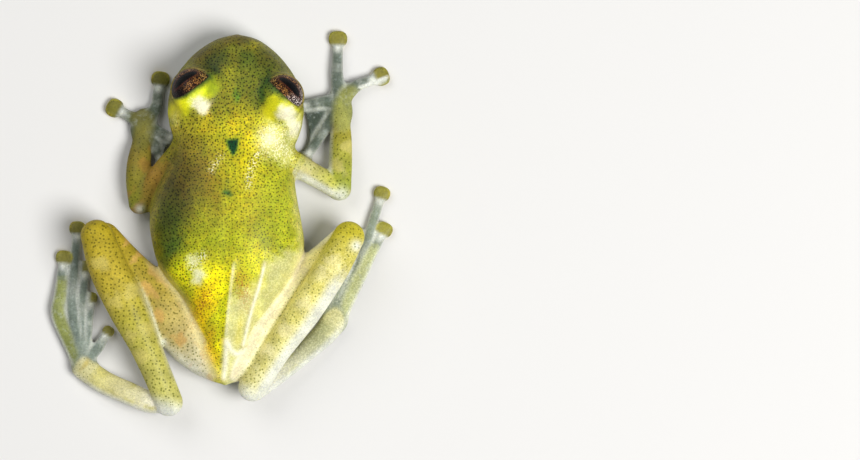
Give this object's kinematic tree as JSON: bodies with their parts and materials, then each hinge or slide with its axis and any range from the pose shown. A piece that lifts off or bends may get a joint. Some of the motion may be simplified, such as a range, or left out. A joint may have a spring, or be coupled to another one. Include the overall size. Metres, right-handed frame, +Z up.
{
  "type": "glass frog",
  "caption": "Life-size still model of a small green glass frog crouched flat, hands spread and legs folded, with webbed feet and round toe discs.",
  "frame": {"origin": "on the floor, under the middle of the box that holds the whole frog", "axes": "+Z up, the head towards -Y, the frog's own left side at +X"},
  "size_m": [0.0212, 0.024, 0.0052],
  "materials": {
    "back_skin": "moist yellow-green skin with fine dark dots",
    "limb_skin": "moist cream-yellow skin with scattered dark dots",
    "toe_skin": "moist glassy grey-green skin",
    "eye": "wet, coppery with a black pupil"
  },
  "bodies": {
    "root": {"head": "back_skin", "torso": "back_skin", "eye_left": "eye", "eye_right": "eye", "upper_arm_left": "limb_skin", "forearm_left": "limb_skin", "thigh_left": "limb_skin", "shank_left": "limb_skin", "tarsus_left": "limb_skin", "upper_arm_right": "limb_skin", "forearm_right": "limb_skin", "thigh_right": "limb_skin", "shank_right": "limb_skin", "tarsus_right": "limb_skin", "hand_left": "toe_skin", "foot_left": "toe_skin", "hand_right": "toe_skin", "foot_right": "toe_skin"}
  },
  "joints": []
}
